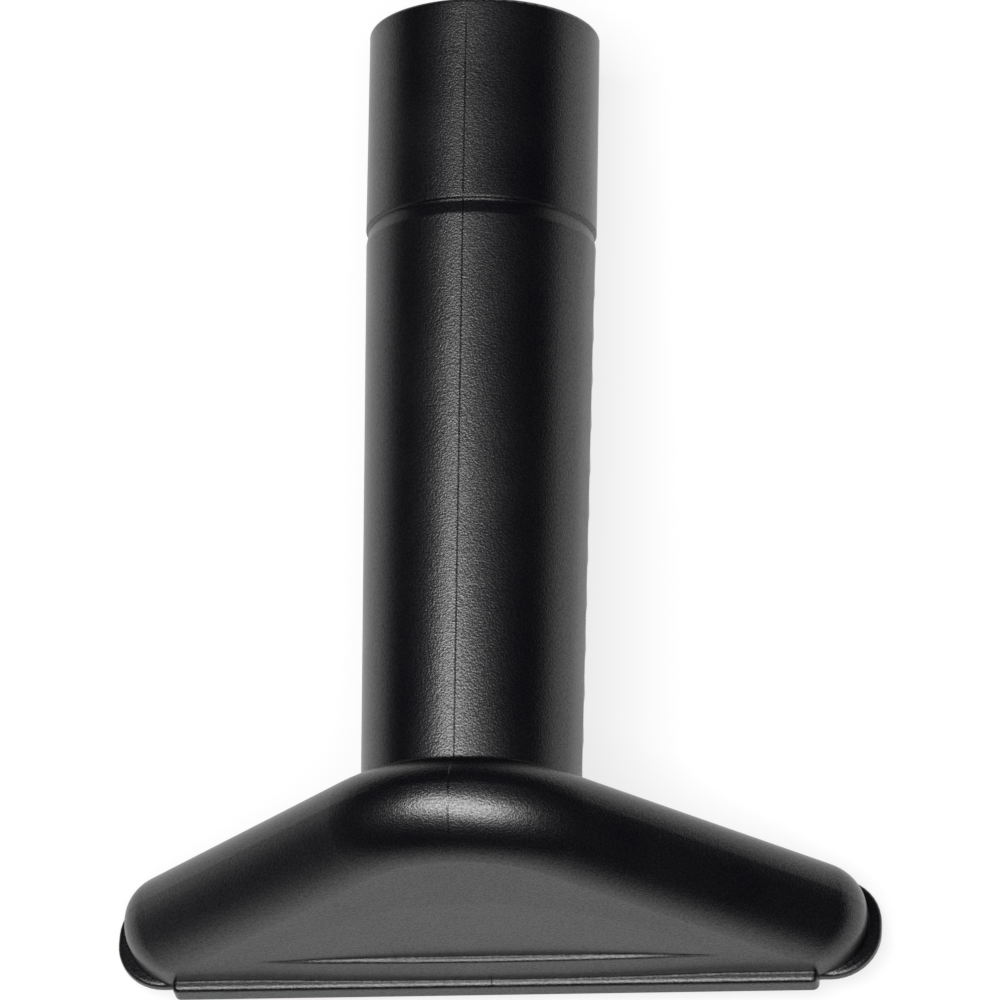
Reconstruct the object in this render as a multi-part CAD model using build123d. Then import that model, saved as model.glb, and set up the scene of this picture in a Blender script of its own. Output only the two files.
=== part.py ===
# Rectangular vacuum nozzle, moulded in one piece: a socket tube, a flat hood and a slot mouth with a lip.
# It is drawn with its mouth on the plane Z = 0, X across the mouth and Y towards the tube,
# and is then laid down the way it comes to rest, on the back of its lip and the end of its tube.
import os
from math import atan2, cos, degrees, radians, sin, tan

from build123d import *

# Driving dimensions, in millimetres and degrees
wall = 2.0
edge_round = 0.6

# Tube: its axis leans back from the mouth's upright and crosses the hood's middle at axis_height
tube_lean = 75.5
axis_height = 30.5
tube_length = 141.7
tube_base_radius = 18.0
tube_neck_radius = 19.3
collar_radius = 19.5
collar_length = 35.0
collar_draft = 0.1
groove_depth = 0.55
groove_steep = 0.3
groove_slope = 2.8

# Socket inside the collar: a 35 mm tube with its running clearance, a lead-in and a stop shoulder
mate_radius = 17.5
mate_clearance = 0.1
socket_length = 33.0
socket_lead = 1.0

# Hood: a rounded trapezoid, given by the corners that its straight sides would meet at. Its rims are rounded
# over until they all but meet in its widest plane, a little behind the plane Y = 0.
hood_width = 125.1
hood_height = 54.4
hood_top_width = 23.9
hood_top_flat = 0.6
hood_end_height = 10.6
hood_ahead = 9.0
hood_behind = 8.1
hood_widest = 0.5
hood_flat = 0.2
end_spare = 0.5

# Lip round the mouth, with a thicker rail along its front
lip_width = 129.1
lip_depth = 18.2
lip_thickness = 2.0
lip_corner = 8.3
rail_length = 108.7
rail_reach = 10.75
rail_height = 3.4
rail_round = 1.1
rail_crest = 0.8

# Ledge low on the front face: the skirt bows out under it and the face is hollowed above it
ledge_height = 10.2
ledge_width = 78.0
ledge_round = 0.5
skirt_bow = 0.6
hollow_depth = 0.45
hollow_rise = 20.0

socket_radius = mate_radius + mate_clearance
front = -hood_ahead
top_slope = atan2(hood_height - hood_end_height, (hood_width - hood_top_width) / 2)
top_round = (hood_top_width - hood_top_flat) / 2 / tan(top_slope / 2)
front_round = hood_ahead + hood_widest - hood_flat / 2
back_round = hood_behind - hood_widest - hood_flat / 2
end_round = front_round + end_spare


def hood_form(inset):
    # The hood with every face moved in by inset; as the hollow inside it runs out through the mouth.
    low = -2 * inset
    corners = [
        (-hood_width / 2, low),
        (hood_width / 2, low),
        (hood_width / 2, hood_end_height),
        (hood_top_width / 2, hood_height),
        (-hood_top_width / 2, hood_height),
        (-hood_width / 2, hood_end_height),
    ]
    outline = make_face(Polyline(*corners, close=True))
    by_height = outline.vertices().sort_by(Axis.Y)
    outline = fillet(by_height[4:], top_round)
    by_height = outline.vertices().sort_by(Axis.Y)
    outline = fillet(by_height[2:4], end_round)
    if inset:
        outline = offset(outline, amount=-inset)
    depth = hood_ahead + hood_behind - 2 * inset
    slab = Pos(0, hood_behind - inset, 0) * extrude(Plane.XZ * outline, amount=depth)
    slab = rounded_rim(slab, hood_behind - inset, back_round - inset)
    return rounded_rim(slab, front + inset, front_round - inset)


def rounded_rim(slab, y, radius):
    # The slab's flat side at y, rounded over along its whole rim except at the mouth.
    bottom = slab.bounding_box().min.Z
    edges = slab.edges().filter_by(lambda edge: abs(edge.center().Y - y) < 1e-4)
    rim = [edge for edge in edges if edge.bounding_box().max.Z > bottom + 1e-3]
    return fillet(rim, radius)


def on_tube_axis(form):
    return Pos(0, 0, axis_height) * Rot(X=-tube_lean) * form


def behind_middle(form):
    # Only what lies behind the hood's middle plane, so that the tube ends inside the hood.
    reach = 2 * tube_length
    return form & Pos(0, reach / 2, 0) * Box(reach, reach, 2 * reach)


def tube_form():
    # The tube's outside, turned round its axis: tapered body, groove, collar and rounded rim.
    groove_top = tube_length - collar_length
    collar_end = collar_radius - collar_draft
    start = -collar_radius
    taper = (tube_neck_radius - tube_base_radius) / (groove_top - groove_slope)
    rim_low = (collar_radius, tube_length - edge_round)
    rim_high = (collar_radius - edge_round, tube_length)
    sides = Polyline(
        rim_high,
        (0, tube_length),
        (0, start),
        (tube_base_radius + taper * start, start),
        (tube_neck_radius, groove_top - groove_slope),
        (collar_end - groove_depth, groove_top - groove_steep),
        (collar_end, groove_top),
        rim_low,
    )
    rim = RadiusArc(rim_low, rim_high, -edge_round)
    profile = make_face([*sides.edges(), rim])
    return behind_middle(on_tube_axis(revolve(Plane.XZ * profile, Axis.Z)))


def passage_form():
    # The way through the tube: lead-in, socket, stop shoulder and a tapered passage down into the hood.
    stop = tube_length - socket_length
    start = -collar_radius
    taper = (tube_neck_radius - tube_base_radius) / (tube_length - collar_length)
    sides = Polyline(
        (0, start),
        (tube_base_radius - wall + taper * start, start),
        (tube_base_radius - wall + taper * stop, stop),
        (socket_radius, stop),
        (socket_radius, tube_length - socket_lead),
        (socket_radius + socket_lead / 2, tube_length),
        (0, tube_length),
        close=True,
    )
    return behind_middle(on_tube_axis(revolve(Plane.XZ * make_face(sides), Axis.Z)))


def lip_form():
    # The flat lip round the mouth with rounded edges, and the rail that thickens its front.
    lip = extrude(RectangleRounded(lip_width, lip_depth, lip_corner), lip_thickness)
    flats = lip.faces().filter_by(Axis.Z).edges()
    lip = fillet(flats, edge_round)
    rail_depth = rail_reach + front
    rail = Pos(0, front - rail_depth / 2, rail_height / 2) * Box(rail_length, rail_depth, rail_height)
    nose = rail.edges().filter_by(Axis.Z).sort_by(Axis.Y)[:2]
    rail = fillet(nose, rail_round)
    upper = rail.faces().sort_by(Axis.Z)[-1].edges()
    crest = upper.filter_by(lambda edge: edge.center().Y < front - rail_round / 4)
    return lip + fillet(crest, rail_crest)


def bow_radius(rise):
    # The radius of an arc as wide as the ledge that bows out by rise.
    return (ledge_width**2 / 4 + rise**2) / (2 * rise)


def skirt_form():
    # The front face below the ledge: a wide drum with a rounded top edge, coming through the face as a lens.
    radius = bow_radius(skirt_bow)
    foot = lip_thickness / 2
    drum = Cylinder(radius, ledge_height - foot, align=(Align.CENTER, Align.MIN, Align.MIN))
    drum = fillet(drum.faces().sort_by(Axis.Z)[-1].edges(), ledge_round)
    return Pos(0, front, foot) * (Pos(0, -skirt_bow, 0) * drum & Box(ledge_width, wall, 2 * ledge_height))


def hollow_form():
    # A wide drum, tipped so that it cuts deepest along the ledge and runs out higher up the face.
    tip = degrees(atan2(hollow_depth, hollow_rise))
    drum = Cylinder(bow_radius(hollow_depth), 2 * hood_height, align=(Align.CENTER, Align.MAX, Align.MIN))
    return Pos(0, front + hollow_depth, ledge_height) * Rot(X=tip) * drum


def nozzle():
    hood = hood_form(0) - hollow_form()
    outside = hood + skirt_form() + lip_form() + tube_form()
    return outside - hood_form(wall) - passage_form()


def laid_down(body):
    # Turned about X until the back of the lip and the rim's low side share one floor, then centred on it.
    lean = radians(tube_lean)
    along = tube_length - edge_round
    across = collar_radius - edge_round
    rim_y = along * sin(lean) + across * cos(lean)
    rim_z = axis_height + along * cos(lean) - across * sin(lean)
    tilt = atan2(rim_z - edge_round, rim_y - (lip_depth / 2 - edge_round))
    turned = Rot(X=-degrees(tilt)) * body
    box = turned.bounding_box()
    return Pos(-box.center().X, -box.center().Y, -box.min.Z) * turned


os.makedirs("parts", exist_ok=True)
nozzle_body = laid_down(nozzle())
export_step(nozzle_body, "parts/nozzle_body.step")
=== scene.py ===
from math import cos, radians, sin

import bpy
import numpy as np
from mathutils import Matrix, Vector


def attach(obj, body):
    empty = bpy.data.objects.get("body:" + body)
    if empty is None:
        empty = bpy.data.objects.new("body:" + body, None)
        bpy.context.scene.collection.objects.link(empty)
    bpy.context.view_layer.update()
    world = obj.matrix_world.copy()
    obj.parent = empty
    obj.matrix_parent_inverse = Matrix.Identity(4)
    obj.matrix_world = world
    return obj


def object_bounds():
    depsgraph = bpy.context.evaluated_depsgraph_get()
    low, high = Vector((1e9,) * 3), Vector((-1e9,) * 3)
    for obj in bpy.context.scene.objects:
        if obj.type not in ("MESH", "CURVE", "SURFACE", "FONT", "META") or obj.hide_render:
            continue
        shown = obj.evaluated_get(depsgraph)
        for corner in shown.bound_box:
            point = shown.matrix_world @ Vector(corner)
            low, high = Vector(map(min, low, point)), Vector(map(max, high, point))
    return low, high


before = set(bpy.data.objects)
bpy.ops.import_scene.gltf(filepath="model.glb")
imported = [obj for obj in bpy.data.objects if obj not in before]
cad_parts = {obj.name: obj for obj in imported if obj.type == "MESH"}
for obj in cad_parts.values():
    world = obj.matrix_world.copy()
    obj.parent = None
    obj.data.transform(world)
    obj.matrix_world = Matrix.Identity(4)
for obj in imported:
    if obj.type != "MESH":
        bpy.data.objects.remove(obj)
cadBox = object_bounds()
scene = bpy.context.scene
scene.view_settings.view_transform = "Standard"
mm = 0.001
print("frame loaded:", sorted(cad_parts))


def linear(hexColour):
    # sRGB hex to linear red, green, blue and alpha
    part = np.array([int(hexColour[i : i + 2], 16) / 255 for i in (1, 3, 5)])
    low = part <= 0.04045
    return (*np.where(low, part / 12.92, ((part + 0.055) / 1.055) ** 2.4).tolist(), 1.0)


def addNode(tree, kind, settings, links):
    # lower-case settings are the node's own and the others fill its sockets;
    # a link joins another node's output to a socket
    made = tree.nodes.new(kind)
    for name, value in settings.items():
        if isinstance(name, str) and name.islower():
            setattr(made, name, value)
        else:
            made.inputs[name].default_value = value
    for name, output in links.items():
        tree.links.new(output, made.inputs[name])
    return made


def newMaterial(name):
    material = bpy.data.materials.new(name)
    material.use_nodes = True
    material.node_tree.nodes.clear()
    return material, material.node_tree


# A long lens high over the front right corner, rolled until the tube points up the picture
camera = {
    "azimuth": 37.715,  # degrees
    "elevation": 75.503,
    "roll": -38.472,
    "lens": 208.2,  # mm
    "sensor": 36,
    "aim": (3.85, -1.46, 26.06),
    "distance": 959.6,
}


def makeCamera(camera):
    azimuth = radians(camera["azimuth"])
    elevation = radians(camera["elevation"])
    roll = radians(camera["roll"])
    back = Vector((sin(azimuth) * cos(elevation), -cos(azimuth) * cos(elevation), sin(elevation)))
    level = Vector((cos(azimuth), sin(azimuth), 0))
    rise = back.cross(level)
    right = cos(roll) * level + sin(roll) * rise
    up = cos(roll) * rise - sin(roll) * level
    data = bpy.data.cameras.new("camera")
    data.lens = camera["lens"]
    data.sensor_width = camera["sensor"]
    eye = bpy.data.objects.new("camera", data)
    place = (Vector(camera["aim"]) + camera["distance"] * back) * mm
    eye.matrix_world = Matrix.Translation(place) @ Matrix((right, up, back)).transposed().to_4x4()
    scene.collection.objects.link(eye)
    scene.camera = eye


makeCamera(camera)
print("camera placed")


# ABS plastic, injection moulded in a spark-eroded mould. To the eye it is near black and a little blue,
# with a satin gloss that breaks into fine grains wherever a lamp is mirrored, and soft edges.
blackPlastic = {
    "colour": "#030306",
    "ior": 1.54,
    "roughness": (0.28, 0.33),  # in the glossiest patches and in the dullest
    "patch": 18.0,  # mm across a patch
    "patchDetail": 2.0,
    "patchSpread": (0.3, 0.7),  # the part of the noise's range that is used
    "grain": 0.33,  # mm across a grain, a little coarse because a finer one is smoothed away in a render
    "grainDetail": 1.0,
    "grainSpread": (0.35, 0.65),
    "grainHeight": 0.043,  # mm
    "mirroring": (0.34, 0.66),  # in the pits between grains and on top of them, where 0.5 is the usual
    "softEdge": 0.55,  # mm, over which the light runs round an edge
    "edgeSamples": 4,
}


def makePlastic(name, plastic, softEdge):
    material, tree = newMaterial(name)
    glossy, dull = plastic["roughness"]
    pit, crest = plastic["mirroring"]
    patchLow, patchHigh = plastic["patchSpread"]
    grainLow, grainHigh = plastic["grainSpread"]
    place = addNode(tree, "ShaderNodeTexCoord", {}, {}).outputs["Object"]
    patch = addNode(
        tree,
        "ShaderNodeTexNoise",
        {"Scale": 1 / (plastic["patch"] * mm), "Detail": plastic["patchDetail"]},
        {"Vector": place},
    )
    roughness = addNode(
        tree,
        "ShaderNodeMapRange",
        {"From Min": patchLow, "From Max": patchHigh, "To Min": glossy, "To Max": dull},
        {"Value": patch.outputs["Fac"]},
    )
    grain = addNode(
        tree,
        "ShaderNodeTexNoise",
        {"Scale": 1 / (plastic["grain"] * mm), "Detail": plastic["grainDetail"]},
        {"Vector": place},
    )
    mirroring = addNode(
        tree,
        "ShaderNodeMapRange",
        {"From Min": grainLow, "From Max": grainHigh, "To Min": pit, "To Max": crest},
        {"Value": grain.outputs["Fac"]},
    )
    edge = addNode(
        tree, "ShaderNodeBevel", {"samples": plastic["edgeSamples"], "Radius": softEdge * mm}, {}
    )
    bump = addNode(
        tree,
        "ShaderNodeBump",
        {"Distance": plastic["grainHeight"] * mm},
        {"Height": grain.outputs["Fac"], "Normal": edge.outputs["Normal"]},
    )
    shader = addNode(
        tree,
        "ShaderNodeBsdfPrincipled",
        {"Base Color": linear(plastic["colour"]), "IOR": plastic["ior"]},
        {
            "Roughness": roughness.outputs["Result"],
            "Specular IOR Level": mirroring.outputs["Result"],
            "Normal": bump.outputs["Normal"],
        },
    )
    addNode(tree, "ShaderNodeOutputMaterial", {}, {"Surface": shader.outputs["BSDF"]})
    return material


plastic = makePlastic("moulded_black_abs", blackPlastic, blackPlastic["softEdge"])
sharpPlastic = makePlastic("moulded_black_abs_seam", blackPlastic, 0)  # a soft edge would blur the seam
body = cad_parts["nozzle_body"]
body.data.materials.clear()
body.data.materials.append(plastic)
print("plastic on the body")


def gridMesh(name, points):
    # a sheet of quads over a grid of points; a quad faces the way that the columns cross the rows
    rows, columns = points.shape[:2]
    index = np.arange(rows * columns).reshape(rows, columns)
    quads = np.stack([index[:-1, :-1], index[:-1, 1:], index[1:, 1:], index[1:, :-1]], -1).reshape(-1, 4)
    mesh = bpy.data.meshes.new(name)
    mesh.from_pydata(points.reshape(-1, 3), [], quads.tolist())
    mesh.polygons.foreach_set("use_smooth", np.ones(len(quads), bool))
    mesh.update()
    return mesh


# The seam that the two halves of the mould leave: a fine raised line along the top of the tube and over
# the hood, and again low on the front, down the skirt and over the rail. Its places are the solid's own,
# measured from the middle of the mouth.
seam = {
    "halfWidth": 0.2,  # mm
    "height": 0.06,
    "sink": 0.03,
    "topFade": 5.0,  # over which it dies away at either end
    "frontFade": 1.2,
    "tubeLean": 75.5,  # degrees
    "axisHeight": 30.5,  # mm
    "tubeStops": (11.8, 103.9, 106.4, 106.7, 141.0),  # along the axis, with the tube's radius at each
    "tubeRadii": (18.148, 19.3, 18.85, 19.4, 19.5),
    "hoodHeight": 54.4,
    "backRound": 7.5,
    "backMiddle": 0.6,
    "frontRound": 9.4,
    "frontMiddle": 0.4,
    "hoodTurn": (33.4, 160.0),  # degrees round the hood, from where the tube leaves it to low on its front
    "skirt": (9.6, 6.4),  # mm: how far ahead it stands, and the height at which the front line starts
    "rail": (10.75, 3.4, 0.8),  # its reach, its height and its round
    "foot": 0.4,
    "tubeSteps": 120,
    "hoodSteps": 72,
    "skirtSteps": 8,
    "railSteps": 12,
    "acrossSteps": 9,
    "tilt": 19.458,  # degrees from the mouth's own axes to the way the nozzle lies
    "mouth": (-71.415, 2.866),  # mm, its middle at rest
}


def topPath(seam):
    # on the tube a point is its place on the axis plus the tube's radius there, straight up from the axis;
    # on the hood it is the middle of the round plus the round's radius, outwards at each turn
    lean = radians(seam["tubeLean"])
    up = np.array([-cos(lean), sin(lean)])
    stops = np.array(seam["tubeStops"])
    even = np.linspace(stops[0], stops[-1], seam["tubeSteps"])
    s = np.unique(np.concatenate([even, stops]))[::-1]
    tube = np.outer(s, [sin(lean), cos(lean)]) + np.outer(np.interp(s, stops, seam["tubeRadii"]), up)
    tube[:, 1] += seam["axisHeight"]
    turn = np.radians(np.linspace(*seam["hoodTurn"], seam["hoodSteps"]))
    outward = np.stack([np.cos(turn), np.sin(turn)], 1)
    behind = turn < np.pi / 2
    bend = np.where(behind, seam["backRound"], seam["frontRound"])
    middle = np.where(behind, seam["backMiddle"], seam["frontMiddle"])
    hood = np.stack([middle, seam["hoodHeight"] - bend], 1) + bend[:, None] * outward
    return np.concatenate([tube, hood]), np.concatenate([np.tile(up, (len(s), 1)), outward])


def frontPath(seam):
    # straight down the skirt, then a quarter turn over the rail's edge, which is the middle of its round
    # plus the round's radius outwards, then straight down the rail's front
    ahead, start = seam["skirt"]
    reach, height, bend = seam["rail"]
    turn = np.radians(np.linspace(90, 180, seam["railSteps"]))
    outward = np.stack([np.cos(turn), np.sin(turn)], 1)
    down = np.linspace(start, height, seam["skirtSteps"])
    skirt = np.stack([np.full(len(down), -ahead), down], 1)
    rail = np.array([bend - reach, height - bend]) + bend * outward
    path = np.concatenate([skirt, rail, [[-reach, seam["foot"]]]])
    return path, np.concatenate([np.tile(outward[-1], (len(down), 1)), outward, outward[-1:]])


def makeSeam(name, seam, path, normal, fadeLength):
    # a profile carried along the path: across u the ridge rises as a cosine squared, from feet that are
    # sunk under the skin to its full height in the middle, and it fades out at both ends of the path
    walked = np.concatenate([[0], np.cumsum(np.hypot(*np.diff(path, axis=0).T))])
    fade = np.clip(np.minimum(walked, walked[-1] - walked) / fadeLength, 0, 1)
    u = np.linspace(1, -1, seam["acrossSteps"])
    rise = np.outer(fade, np.cos(np.pi * u / 2) ** 2) * (seam["height"] + seam["sink"]) - seam["sink"]
    y = path[:, :1] + normal[:, :1] * rise
    z = path[:, 1:] + normal[:, 1:] * rise
    tilt = radians(seam["tilt"])
    points = np.empty((*rise.shape, 3))
    points[..., 0] = seam["halfWidth"] * u
    points[..., 1] = y * cos(tilt) + z * sin(tilt) + seam["mouth"][0]
    points[..., 2] = z * cos(tilt) - y * sin(tilt) + seam["mouth"][1]
    points *= mm
    points[..., 2] = np.minimum(points[..., 2], cadBox[1][2])  # flush where it crosses the highest point
    mesh = gridMesh(name, points)
    mesh.materials.append(sharpPlastic)
    line = bpy.data.objects.new(name, mesh)
    scene.collection.objects.link(line)
    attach(line, "root")


makeSeam("mould_seam", seam, *topPath(seam), seam["topFade"])
makeSeam("mould_seam_front", seam, *frontPath(seam), seam["frontFade"])
print("seams laid")


# White card, matt, with painted shade that turns it pale grey away from the nozzle, as if the lamp's light
# fell off.
# What the camera sees of it and what the gloss mirrors is mostly its own glowing white, even near the
# nozzle, and the rest is lit by the lamp and keeps the shadow.
table = {
    "nearColour": "#f4f4f4",
    # painted shade: this grey stands in for the lamp's light falling off far from the nozzle
    "paintedFalloffColour": "#b4b4b4",
    "turn": (0.125, 0.32),  # m from the middle, between which the painted shade turns the white to grey
    "halfSize": 4.0,
    "glow": 0.85,  # the share of its own white
}


def makeTable(table):
    material, tree = newMaterial("white_card_painted_falloff")
    near, far = table["turn"]
    path = addNode(tree, "ShaderNodeLightPath", {}, {})
    mirrored = addNode(
        tree,
        "ShaderNodeMath",
        {"operation": "MAXIMUM"},
        {0: path.outputs["Is Glossy Ray"], 1: path.outputs["Is Transmission Ray"]},
    )
    seen = addNode(
        tree,
        "ShaderNodeMath",
        {"operation": "MAXIMUM"},
        {0: path.outputs["Is Camera Ray"], 1: mirrored.outputs[0]},
    )
    share = addNode(
        tree,
        "ShaderNodeMath",
        {"operation": "MULTIPLY", 1: table["glow"]},
        {0: seen.outputs[0]},
    )
    place = addNode(tree, "ShaderNodeTexCoord", {}, {}).outputs["Object"]
    away = addNode(tree, "ShaderNodeVectorMath", {"operation": "LENGTH"}, {0: place})
    # painted shade: the card's colour and its glow darken with distance from the middle
    shade = addNode(
        tree,
        "ShaderNodeMapRange",
        {
            "interpolation_type": "SMOOTHSTEP",
            "From Min": near,
            "From Max": far,
            "To Min": linear(table["nearColour"])[0],
            "To Max": linear(table["paintedFalloffColour"])[0],
        },
        {"Value": away.outputs["Value"]},
    )
    card = addNode(tree, "ShaderNodeBsdfDiffuse", {}, {"Color": shade.outputs["Result"]})
    glow = addNode(tree, "ShaderNodeEmission", {"Strength": 1}, {"Color": shade.outputs["Result"]})
    mix = addNode(
        tree, "ShaderNodeMixShader", {}, {0: share.outputs[0], 1: card.outputs[0], 2: glow.outputs[0]}
    )
    addNode(tree, "ShaderNodeOutputMaterial", {}, {"Surface": mix.outputs[0]})
    corner = np.array([-1, 1]) * table["halfSize"]
    x, y = np.meshgrid(corner, corner)
    mesh = gridMesh("table", np.stack([x, y, 0 * x], -1))
    mesh.materials.append(material)
    top = bpy.data.objects.new("table", mesh)
    scene.collection.objects.link(top)


makeTable(table)
print("table laid")


# One soft panel overhead, a little to the left and to the front, and dim surroundings
light = {
    "place": (-0.05, -0.10, 1.20),  # m
    "size": (1.15, 0.62),
    "power": 32,  # W
    "surroundings": "#14161a",
}


def makeLight(light):
    data = bpy.data.lights.new("panel", "AREA")
    data.shape = "RECTANGLE"
    data.size, data.size_y = light["size"]
    data.energy = light["power"]
    panel = bpy.data.objects.new("panel", data)
    place = Vector(light["place"])
    panel.matrix_world = Matrix.Translation(place) @ place.to_track_quat("Z", "Y").to_matrix().to_4x4()
    scene.collection.objects.link(panel)
    world = bpy.data.worlds.new("studio")
    world.use_nodes = True
    world.node_tree.nodes["Background"].inputs["Color"].default_value = linear(light["surroundings"])
    scene.world = world


makeLight(light)
print("light set")
